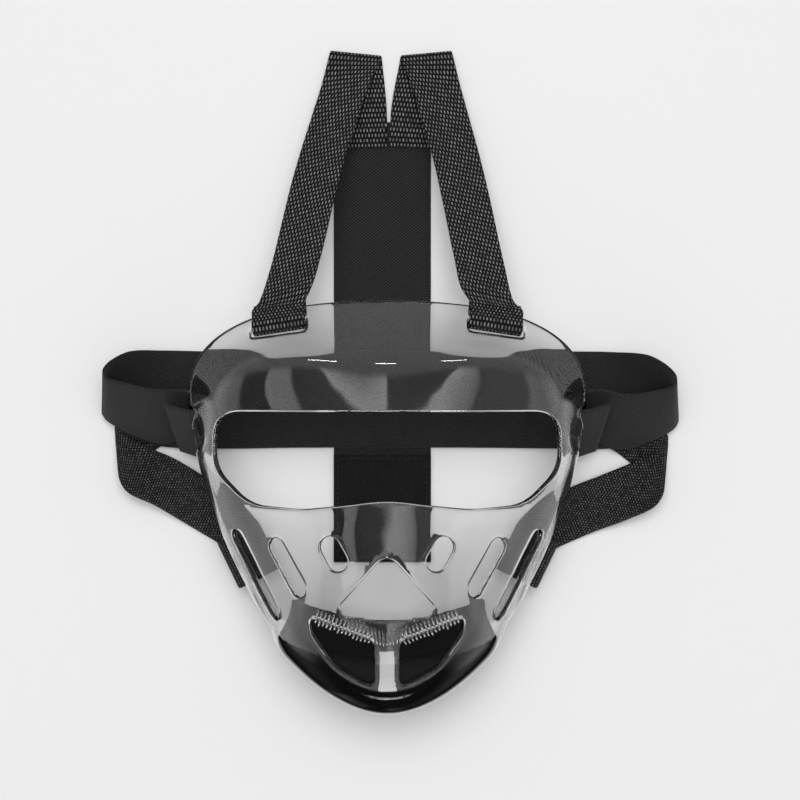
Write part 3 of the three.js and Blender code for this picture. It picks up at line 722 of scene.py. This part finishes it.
# Woven elastic: a fine diagonal twill of rubber-cored threads about a millimetre apart, dull black
TWILL_MM = 1.2
TWILL_TURN = math.radians(52)
elastic, tree = new_finish("black_elastic_twill")
cloth = add(tree, "ShaderNodeUVMap", uv_map="cloth").outputs["UV"]
turned = add(tree, "ShaderNodeMapping", {"Vector": cloth, "Rotation": (0, 0, TWILL_TURN)})
twill = add(tree, "ShaderNodeTexWave", {
    "Vector": turned, "Scale": 2 * math.pi / (20 * TWILL_MM),
    "Distortion": 0.6, "Detail": 2.0, "Detail Scale": 3.0,
}, wave_type="BANDS", bands_direction="X")
fluff = add(tree, "ShaderNodeTexNoise", {"Vector": cloth, "Scale": 1.6, "Detail": 3.0})
mixed = add(tree, "ShaderNodeMath", {0: twill.outputs["Fac"], 1: fluff}, operation="MULTIPLY")
shade = add(tree, "ShaderNodeMixRGB", {
    "Fac": mixed, "Color1": tint("#070708"), "Color2": tint("#48484A"),
})
threads = add(tree, "ShaderNodeBump", {
    "Height": twill.outputs["Fac"], "Strength": 0.6, "Distance": 0.25 * MM,
})
coat(tree, {
    "Base Color": shade, "Roughness": 0.72, "Specular IOR Level": 0.16,
    "Sheen Weight": 0.08, "Sheen Roughness": 0.4, "Normal": threads,
})

crown_line = strap_line([
    ((CROWN_X, y, ELASTIC_THICK / 2), (ELASTIC_WIDTH, 0, 0)) for y in np.linspace(CROWN_TOP, CROWN_BOTTOM, 6)
], spacing=4.0)
strap_piece("crown_strap_elastic", crown_line, ELASTIC_THICK, elastic, "crown_strap")

# The loop tape: the fuzzy half of a touch fastener, sewn to the face of the crown strap's tail.
# Its pile is a mat of tiny nylon loops that stand in all directions on a woven backing.
TAPE_TOP = -28.0
TAPE_BOTTOM = -83.0
TAPE_BACKING = 1.3
PILE_LOOPS_PER_CM2 = 85.0
LOOP_RADIUS = 0.55
LOOP_THREAD = 0.075
PILE_INSET = 1.0
PILE_SEED = 3
tape_low = ELASTIC_THICK + GAP
tape_high = tape_low + TAPE_BACKING
tape_line = strap_line([
    ((CROWN_X, y, tape_low + TAPE_BACKING / 2), (ELASTIC_WIDTH, 0, 0))
    for y in np.linspace(TAPE_TOP, TAPE_BOTTOM, 4)
], spacing=4.0)
# Nylon pile: very dark, with a soft glint on the outer side of each loop
pile, tree = new_finish("black_nylon_loop_pile")
SPECK_MM = 0.8
coordinates = add(tree, "ShaderNodeTexCoord").outputs["Object"]
specks = add(tree, "ShaderNodeTexNoise", {"Vector": coordinates, "Scale": 1000 / SPECK_MM, "Detail": 2.0})
shade = add(tree, "ShaderNodeMixRGB", {
    "Fac": specks, "Color1": tint("#050505"), "Color2": tint("#232325"),
})
fuzz = add(tree, "ShaderNodeBump", {"Height": specks, "Strength": 0.8, "Distance": 0.4 * MM})
coat(tree, {
    "Base Color": shade, "Roughness": 0.75, "Specular IOR Level": 0.1,
    "Sheen Weight": 0.08, "Sheen Roughness": 0.5, "Normal": fuzz,
})
strap_piece("loop_tape_backing", tape_line, TAPE_BACKING, pile, "loop_tape")


def loops_on_faces(tree, given):
    """Open loops of thread, scattered on faces and leaning every way."""
    spread = add(tree, "GeometryNodeDistributePointsOnFaces", {
        "Mesh": given["Geometry"], "Density": given["Density"], "Seed": given["Seed"],
    })
    arc = add(tree, "GeometryNodeCurveArc", {
        "Resolution": 6, "Radius": given["Loop Radius"],
        "Start Angle": math.radians(-25), "Sweep Angle": math.radians(230),
    })
    profile = add(tree, "GeometryNodeCurvePrimitiveCircle", {"Resolution": 3, "Radius": given["Thread"]})
    thread = add(tree, "GeometryNodeCurveToMesh", {
        "Curve": arc, "Profile Curve": profile,
    })
    upright = add(tree, "GeometryNodeTransform", {
        "Geometry": thread, "Rotation": (math.radians(90), 0, 0),
    })
    turn = add(tree, "FunctionNodeRandomValue", {
        0: (-0.6, -0.6, 0.0), 1: (0.6, 0.6, 6.28), "Seed": given["Seed"],
    }, data_type="FLOAT_VECTOR")
    return add(tree, "GeometryNodeInstanceOnPoints", {
        "Points": spread, "Instance": upright,
        "Rotation": turn,
    })


pile_half = ELASTIC_WIDTH / 2 - PILE_INSET
pile_low, pile_high = TAPE_BOTTOM + PILE_INSET, TAPE_TOP - PILE_INSET
pile_base = smooth_mesh("loop_tape_pile", [
    (CROWN_X - pile_half, pile_low, tape_high), (CROWN_X + pile_half, pile_low, tape_high),
    (CROWN_X + pile_half, pile_high, tape_high), (CROWN_X - pile_half, pile_high, tape_high),
], [(0, 1, 2, 3)])
pile_mesh = planted("loop_tape_pile", pile_base, loops_on_faces, (
    ("Density", "Float", PILE_LOOPS_PER_CM2 * 10000), ("Loop Radius", "Float", LOOP_RADIUS * MM),
    ("Thread", "Float", LOOP_THREAD * MM), ("Seed", "Int", PILE_SEED), ("Finish", "Material", pile),
))
new_piece("loop_tape_pile", pile_mesh, None)

# The head band: 50 mm elastic that lies flat behind the head, rises at each side into a standing loop
# and runs back to the temple bar of the shield, round it and out again through the slot.
# Columns: x outwards, y, z, edge x outwards, y, z, and how much of the side's own drop the row takes.
BAND_LOOP = (
    (0, 0.5, 2.65, 0, 50, 0, 0),
    (45, 0.5, 2.65, 0, 50, 0, 0),
    (90, 0, 3.1, 0, 50, 0, 0),
    (114, 0.6, 6.5, 0, 49.4, 6, 0.2),
    (131, 2.6, 17.6, -2, 43, 24.5, 0.5),
    (142.5, 4.2, 27.4, -7, 22, 43.6, 0.8),
    (141, 0.6, 28.2, -6, 21.5, 44.2, 1),
    (130, -4.5, 27.5, -1, 26, 42.6, 1),
    (116, -8.5, 28, 0, 27.5, 41.8, 0.7),
)
# Each side's own drop and reach
BAND_SIDES = {-1: (0, 0), 1: (-4, 2.5)}


def lying_rows(rows, side, drop, reach):
    """Stations of a strap's loose run on one side, from a table with the head band's columns."""
    return [
        (np.array([side * (x + own * reach), y + own * drop, z]), np.array([side * ex, ey, ez]))
        for x, y, z, ex, ey, ez, own in rows
    ]


def bar_rows(bar, edgeward, outward, across, width, steps):
    """Stations of a strap round a bar, in steps (towards the free edge, outwards)."""
    return [(bar + e * edgeward + o * outward, width * across) for e, o in steps]


def band_stations(side):
    """Stations of half the head band, from the middle outwards."""
    centre, across, outward, edgeward = temple_frame(side)
    clear = SHIELD_WALL / 2 + GAP + ELASTIC_THICK / 2
    bar = centre + edgeward * (TEMPLE_SLOT_WIDTH + TEMPLE_BAR) / 2 - outward * SHIELD_WALL / 2
    past = TEMPLE_BAR / 2 + GAP + ELASTIC_THICK / 2 + 0.5
    slot = -(TEMPLE_BAR + TEMPLE_SLOT_WIDTH) / 2
    round_bar = (
        (past, 10), (past, 2), (past - 0.6, -clear - 0.6), (TEMPLE_BAR / 2 - 2, -clear - 2.4),
        (-TEMPLE_BAR / 2 + 1, -clear - 2), (slot - 0.3, -1), (slot, 3), (slot + 1.6, 8), (slot + 3.4, 13),
    )
    loose = lying_rows(BAND_LOOP, side, *BAND_SIDES[side])
    return loose + bar_rows(bar, edgeward, outward, across, ELASTIC_WIDTH, round_bar)


band_line = strap_line(band_stations(-1)[::-1] + band_stations(1)[1:])
strap_piece("head_band_elastic", band_line, ELASTIC_THICK, elastic, "head_band", across_steps=24)

# The top webbing: 26 mm black nylon webbing, from round the bar above each forehead slot up to a flat fold
# and back down to the crown strap, where it is sewn on.
# Columns: x outwards, y, z, edge x outwards, y, z.
WEBBING_WIDTH = 26.0
WEBBING_THICK = 1.6
TOP_WEBBING = {
    -1: (
        (49.7, 51, 57.5, 25.2, 6.4, 0), (45, 68.5, 46, 25.1, 6.8, 0), (34.6, 118, 21.5, 25.2, 6.5, 0),
        (21.6, 162, 6.2, 25.6, 3.6, 0), (17.6, 174, 4.3, 26.4, -1.4, 0), (16.8, 176.6, 3.7, 26.5, -2.5, 0),
        (16.6, 177.6, 2.3, 26.5, -2.6, 0), (16.5, 176.6, 1.2, 26.5, -2.4, 0), (16.1, 173, 1, 26.3, -1, 0),
        (13.8, 150, 2.7, 26, 0.8, 0), (13.4, 130, 2.7, 26, 0.4, 0),
    ),
    1: (
        (48.7, 51, 57.5, 25.4, 6, 0), (45, 68.5, 46, 25.3, 6.1, 0), (35.6, 118, 21.5, 25.4, 5.8, 0),
        (24.2, 162, 6.2, 25.8, 3, 0), (20.6, 174, 4.3, 26.4, -1.2, 0), (19.8, 176.6, 3.7, 26.5, -2.3, 0),
        (19.6, 177.6, 2.3, 26.5, -2.4, 0), (19.4, 176.6, 1.2, 26.5, -2.2, 0), (18.8, 173, 1, 26.3, -0.8, 0),
        (14.8, 150, 2.7, 26, 2.4, 0), (13.4, 130, 2.7, 26, 1, 0),
    ),
}
# Places in plan round the bar above a forehead slot
FOREHEAD_BAR = (52.5, 40.5)
FOREHEAD_BELOW_Y = 31.8
FOREHEAD_ABOVE_Y = 42.0
FOREHEAD_INNER = (40.0, 40.0)
FOREHEAD_OUTER = (65.0, 36.0)


def top_stations(side):
    """Stations of one top webbing, from behind its bar to the crown strap."""
    x, y = FOREHEAD_BAR
    outward = unit(face_at(side * x, FOREHEAD_BELOW_Y)[1] + face_at(side * x, FOREHEAD_ABOVE_Y)[1])
    across = face_at(side * FOREHEAD_INNER[0], FOREHEAD_INNER[1])[0]
    across = -side * (across - face_at(side * FOREHEAD_OUTER[0], FOREHEAD_OUTER[1])[0])
    across = unit(across - across.dot(outward) * outward)
    edgeward = np.cross(outward, across)
    edgeward *= math.copysign(1, edgeward[1])
    bar = face_at(side * x, y)[0] - outward * SHIELD_WALL / 2
    clear = SHIELD_WALL / 2 + GAP + WEBBING_THICK / 2
    round_bar = (
        (12, clear - WEBBING_THICK - 2 * GAP), (9, -0.8), (5, -clear - 0.5), (-2, -clear - 1),
        (-6.6, -clear - 0.2), (-8.4, 0.2), (-6.6, clear + 0.4), (-1, clear + 0.4), (6, clear + 0.3),
    )
    return bar_rows(bar, edgeward, outward, across, WEBBING_WIDTH, round_bar) + [
        (np.array([side * x, y, z]), np.array([ex, -side * ey, ez]))
        for x, y, z, ex, ey, ez in TOP_WEBBING[side]
    ]


def webbing_pair(label, stations, finish):
    """The left and right webbing of a pair as pieces; gives back the line that each follows."""
    lines = {}
    for side, name in ((-1, "left"), (1, "right")):
        lines[side] = strap_line(stations(side))
        piece, node = label + "_weave_" + name, label + "_" + name
        strap_piece(piece, lines[side], WEBBING_THICK, finish, node)
    return lines


# Nylon webbing: a plain weave of thick black yarns; the glints on its floats are painted into the colour
# as rows of short light grey dashes on black. The gap is the black that shows round each float.
YARN_MM = 1.72
PICK_MM = 2.56
GAP_MM = 0.66


def webbing_finish(name, yarn, pick, gap, dim_painted_glint, bright_painted_glint):
    """Woven nylon: its yarns across, picks along and gaps in millimetres, and two shades of the painted glint
    on its floats.
    """
    made, tree = new_finish(name)
    cloth = add(tree, "ShaderNodeUVMap", uv_map="cloth").outputs["UV"]
    # The two float shades are painted glints; the gap shade is the yarn's own black.
    weave = add(tree, "ShaderNodeTexBrick", {
        "Vector": cloth, "Scale": 1.0, "Mortar Size": gap, "Mortar Smooth": 0.4, "Bias": 0.0,
        "Brick Width": yarn, "Row Height": pick,
        "Color1": tint(dim_painted_glint), "Color2": tint(bright_painted_glint), "Mortar": tint("#050506"),
    }, offset=0.5, offset_frequency=2)
    floats = add(tree, "ShaderNodeBump", {
        "Height": weave.outputs["Fac"], "Strength": 0.8, "Distance": 0.35 * MM,
    }, invert=True)
    coat(tree, {"Base Color": weave, "Specular IOR Level": 0.14, "Roughness": 0.5, "Normal": floats})
    return made


# Its light grey float shades are painted glints.
webbing = webbing_finish("black_nylon_webbing", YARN_MM, PICK_MM, GAP_MM, "#5E5E60", "#8E8E8E")
top_lines = webbing_pair("top_webbing", top_stations, webbing)

# The jaw webbing: 26 mm webbing sewn under the head band, turned in a standing bend, then under the cut edge
# and in through the jaw slot, round the bar below it. Columns as the head band's.
JAW_WEBBING = (
    (94, -5, 1.1, 3, 25.8, 0, 0.3),
    (116, -9, 1.7, 7.3, 25, 0, 0.5),
    (129, -16.5, 2.1, 8.8, 24.5, 0, 0.8),
    (138.5, -24.5, 7.4, 4, 22, -10.4, 1),
    (130, -34, 12, -6.2, 24, -7.3, 1),
    (114, -42, 8.5, -9.4, 24.2, -2, 1),
    (99, -51.5, 3.4, -10.4, 23.7, 0, 0.6),
    (85.5, -60, 2, -8, 24.6, 0, 0.3),
    (70.5, -71.5, 2, 2, 25.8, 0, 0),
)
JAW_SIDES = {-1: (0, 0), 1: (-7, 3.5)}


def jaw_stations(side):
    """Stations of one jaw webbing, from under the head band to behind its bar."""
    centre, across, outward, edgeward = jaw_frame(side)
    clear = SHIELD_WALL / 2 + GAP + WEBBING_THICK / 2
    bar = centre - outward * SHIELD_WALL / 2
    round_bar = (
        (12.5, -15), (5.5, -14.5), (0.6, -8), (-0.2, -2), (0.2, clear + 1.4), (5, clear + 3.4),
        (10.4, clear + 1.8), (12.3, -0.5), (12.3, -6),
    )
    loose = lying_rows(JAW_WEBBING, side, *JAW_SIDES[side])
    return loose + bar_rows(bar, edgeward, outward, across, WEBBING_WIDTH, round_bar)


# The other face of the same webbing lies up here: finer, with dimmer painted glints on its floats
FINE_YARN_MM = 1.5
FINE_PICK_MM = 1.3
FINE_GAP_MM = 0.42
fine_webbing = webbing_finish(
    "black_nylon_webbing_fine_face", FINE_YARN_MM, FINE_PICK_MM, FINE_GAP_MM, "#38383A", "#6A6A6C",
)
jaw_lines = webbing_pair("jaw_webbing", jaw_stations, fine_webbing)

# The seams: black thread that holds each webbing tail down beside its slot and on the crown strap, and the
# edges of the loop tape. A stitch is a short rounded bar, half sunk in the cloth.
STITCH_SIZE = (2.2, 0.55, 0.5)
STITCH_PITCH = 2.7
# Share of the strap's half width that a seam across it takes up, and where such seams lie: x outwards, y, z
SEAM_REACH = 0.84
TOP_SEAMS = ((49, 47.5, 60), (49, 53.5, 55.5), (13.6, 133, 2.7), (13.6, 139.5, 2.7))
JAW_SEAMS = ((96, -5.5, 1.2),)
# How far the loop tape's seams lie from its edges, and how far they stop short of its corners
TAPE_SEAM_INSET = 2.2
TAPE_SEAM_SHORT = 3.0
seam_spots = []


def cross_seam(line, place):
    """A row of stitches across a webbing on its upper face, where it comes nearest to a place."""
    middle, half, _, normal, _ = line
    k = np.argmin(np.linalg.norm(middle - place, axis=1))
    up = math.copysign(1, normal[k][2]) * normal[k]
    count = int(2 * np.linalg.norm(half[k]) / STITCH_PITCH) - 1
    for u in np.linspace(-SEAM_REACH, SEAM_REACH, count):
        seam_spots.append((middle[k] + u * half[k] + WEBBING_THICK / 2 * up, half[k], up, 1.0))


for side in (-1, 1):
    for lines, seams in ((top_lines, TOP_SEAMS), (jaw_lines, JAW_SEAMS)):
        for x, y, z in seams:
            cross_seam(lines[side], (side * x, y, z))
tape_half = ELASTIC_WIDTH / 2
for y in np.arange(TAPE_BOTTOM + TAPE_SEAM_SHORT, TAPE_TOP - TAPE_SEAM_SHORT + 1, STITCH_PITCH):
    for side in (-1, 1):
        x = CROWN_X + side * (tape_half - TAPE_SEAM_INSET)
        seam_spots.append(((x, y, tape_high), (0, 1, 0), (0, 0, 1), 1.0))
for x in np.arange(-tape_half + TAPE_SEAM_SHORT + 1, tape_half - TAPE_SEAM_SHORT, STITCH_PITCH):
    for y in (TAPE_BOTTOM + TAPE_SEAM_INSET, TAPE_TOP - TAPE_SEAM_INSET):
        seam_spots.append(((CROWN_X + x, y, tape_high), (1, 0, 0), (0, 0, 1), 1.0))
# Polyester sewing thread: smooth and a little shinier than the cloth
thread_finish, tree = new_finish("black_polyester_thread")
coat(tree, {"Base Color": tint("#121213"), "Roughness": 0.45, "Specular IOR Level": 0.5})
seam_mesh = bar_mesh("seam_stitches", seam_spots, STITCH_SIZE, thread_finish)
new_piece("seam_stitches", seam_mesh, None)

# The table: a plain pale sheet just under the part, far wider than the picture.
# The glossy pieces don't mirror it.
TABLE_REACH = 1500
TABLE_DROP = 0.3
floor_mesh = smooth_mesh("table", [
    (x * TABLE_REACH, y * TABLE_REACH, -TABLE_DROP) for x, y in ((-1, -1), (1, -1), (1, 1), (-1, 1))
], [(0, 1, 2, 3)])
floor = in_scene("table", floor_mesh)
floor.visible_glossy = False
# Matt paper: even and pale, with no gloss
paper, tree = new_finish("pale_matt_paper")
coat(tree, {"Base Color": tint("#EDEDED"), "Roughness": 0.9})
floor_mesh.materials.append(paper)

# The room: a white canopy overhead, a little towards the forehead. What the glossy pieces mirror instead is
# a row of lighter and darker panels from the wearer's right to the left, dark at the temples and below the
# chin, with a thin broken glint on the chin and a pale rim along the edges.
CANOPY_AXIS = (0.0, 0.18, 0.984)
CANOPY_DIM = 0.3
CANOPY_BRIGHT = 3.6
WALL_BRIGHT = 1.6
BELOW_BRIGHT = 0.85
CHIN_GLINT = 9.0
GLINT_Z = -0.17
GLINT_SPECKS = 55.0
TEMPLE_DARKENING = 0.9
FOREHEAD_SIDE = 0.62
# The panels' borders and levels, each (x of the direction, level), and the level that stands for white
PANELS = (
    (-1.0, 1.4), (-0.84, 1.0), (-0.7, 0.85), (-0.64, 0.15), (-0.36, 0.15), (-0.34, 1.4), (-0.17, 1.2),
    (-0.15, 0.2), (-0.01, 0.3), (0.005, 2.4), (0.11, 1.1), (0.14, 0.3), (0.16, 0.42), (0.55, 0.42),
    (0.62, 1.1), (0.8, 0.9), (1.0, 1.4),
)
PANEL_TOP = 2.4
world = bpy.data.worlds.new("studio")
bpy.context.scene.world = world
world.use_nodes = True
tree = world.node_tree
tree.nodes.clear()
compass = add(tree, "ShaderNodeTexCoord").outputs["Generated"]
direction = add(tree, "ShaderNodeSeparateXYZ", {"Vector": compass}).outputs
overhead = add(tree, "ShaderNodeVectorMath", {0: compass, 1: CANOPY_AXIS}, operation="DOT_PRODUCT")
sideways = add(tree, "ShaderNodeMapRange", {"Value": direction["X"], "From Min": -1.0, "From Max": 1.0})
panels = add(tree, "ShaderNodeValToRGB", {"Fac": sideways})
while len(panels.color_ramp.elements) < len(PANELS):
    panels.color_ramp.elements.new(0.5)
for element, (x, level) in zip(panels.color_ramp.elements, PANELS):
    element.position = (x + 1) / 2
    element.color = (level / PANEL_TOP, level / PANEL_TOP, level / PANEL_TOP, 1)
panel_level = add(tree, "ShaderNodeMath", {0: panels, 1: PANEL_TOP}, operation="MULTIPLY")
aside = add(tree, "ShaderNodeMath", {0: direction["X"]}, operation="ABSOLUTE")
specks = add(tree, "ShaderNodeTexNoise", {"Vector": compass, "Scale": GLINT_SPECKS, "Detail": 1.0})
glint_rise = add(tree, "ShaderNodeMath", {0: direction["Z"], 1: GLINT_Z}, operation="SUBTRACT")
glint_off = add(tree, "ShaderNodeMath", {0: glint_rise}, operation="ABSOLUTE")
# Soft steps, each with what it follows, where it starts and ends, and its level before and after
step = {}
for label, source, start, end, before, after in (
    ("canopy", overhead.outputs["Value"], 0.86, 0.98, CANOPY_DIM, CANOPY_BRIGHT),
    ("foreheadward", direction["Y"], 0.45, 0.75, 0.0, 1.0),
    ("chinward", direction["Y"], -0.55, -0.85, 0.0, 1.0),
    ("wall", direction["Z"], 0.0, 0.14, 0.0, WALL_BRIGHT),
    ("glint_reach", aside, 0.3, 0.1, 0.0, 1.0),
    ("glint_specks", specks, 0.42, 0.6, 0.0, 1.0),
    ("glint", glint_off, 0.05, 0.02, 0.0, CHIN_GLINT),
    ("under", direction["Z"], -0.8, -0.35, 0.0, 1.0),
    ("below", direction["Z"], -0.8, -0.97, 0.0, BELOW_BRIGHT),
    ("downward", direction["Z"], 0.0, -0.22, 0.0, 1.0),
    ("browward", direction["Y"], -0.03, 0.1, 0.0, -TEMPLE_DARKENING),
):
    step[label] = add(tree, "ShaderNodeMapRange", {
        "Value": source, "From Min": start, "From Max": end, "To Min": before, "To Max": after,
    }, interpolation_type="SMOOTHSTEP")
path = add(tree, "ShaderNodeLightPath").outputs
bounced = add(tree, "ShaderNodeMath", {0: path["Glossy Depth"], 1: 0.5}, operation="GREATER_THAN")
unscattered = add(tree, "ShaderNodeMath", {0: path["Diffuse Depth"], 1: 0.5}, operation="LESS_THAN")
# Levels worked out one after another, each first x second + third, or a mix by first of second and third
level = {"panels": panel_level, **step}
for label, kind, first, second, third in (
    ("backed", "mix", "foreheadward", "panels", FOREHEAD_SIDE),
    ("broken", "sum", "glint_reach", "glint_specks", 0.0),
    ("chin", "sum", "glint", "broken", "wall"),
    ("sided", "mix", "chinward", "backed", "chin"),
    ("temples", "sum", "downward", "browward", 1.0),
    ("lit", "sum", "temples", "under", 0.0),
    ("mirror", "sum", "sided", "lit", "below"),
    ("reflected", "sum", bounced, unscattered, 0.0),
    ("strength", "mix", "reflected", "canopy", "mirror"),
):
    first, second, third = (level.get(term, term) for term in (first, second, third))
    if kind == "mix":
        made = add(tree, "ShaderNodeMix", {"Factor": first, "A": second, "B": third}, data_type="FLOAT")
    else:
        made = add(tree, "ShaderNodeMath", {0: first, 1: second, 2: third}, operation="MULTIPLY_ADD")
    level[label] = made
glow = add(tree, "ShaderNodeBackground", {"Color": (1, 1, 1, 1), "Strength": level["strength"]})
add(tree, "ShaderNodeOutputWorld", {"Surface": glow})
bpy.context.scene.view_settings.view_transform = "Standard"


def soft_box(name, place, size, power, lights_cloth):
    """A soft box turned to the shield, in metres: it lights the scene or only shows as a reflection."""
    lamp = bpy.data.lights.new(name, "AREA")
    lamp.shape = "RECTANGLE"
    lamp.size, lamp.size_y = size
    lamp.energy = power
    box = in_scene(name, lamp)
    box.location = place
    box.rotation_euler = (-Vector(place)).to_track_quat("-Z", "Y").to_euler()
    box.visible_glossy = not lights_cloth
    box.visible_diffuse = lights_cloth
    box.visible_transmission = False


soft_box("overhead_key", (0.0, 0.3, 1.5), (0.6, 0.6), 5.5, True)
soft_box("brow_glint", (0.0, 1.2, 0.7), (0.2, 0.035), 0.9, False)
soft_box("lip_bar_glint", (0.0, -1.26, 0.61), (0.32, 1.0), 9.5, False)

# The camera hangs straight over the shield, as far up as the photograph's perspective asks.
# At the table a millimetre is 1.94 of the picture's 800 pixels.
CAMERA_X = 6.1
CAMERA_HEIGHT = 1000.0
PICTURE_PIXELS = 800
PIXELS_PER_MM = 1.94
SENSOR_MM = 24.0
camera_data = bpy.data.cameras.new("overhead")
camera_data.sensor_fit = "VERTICAL"
camera_data.sensor_height = camera_data.sensor_width = SENSOR_MM
camera_data.lens = SENSOR_MM / (PICTURE_PIXELS / PIXELS_PER_MM) * CAMERA_HEIGHT
camera = in_scene("overhead", camera_data)
camera.location = (CAMERA_X * MM, 0, CAMERA_HEIGHT * MM)
bpy.context.scene.camera = camera
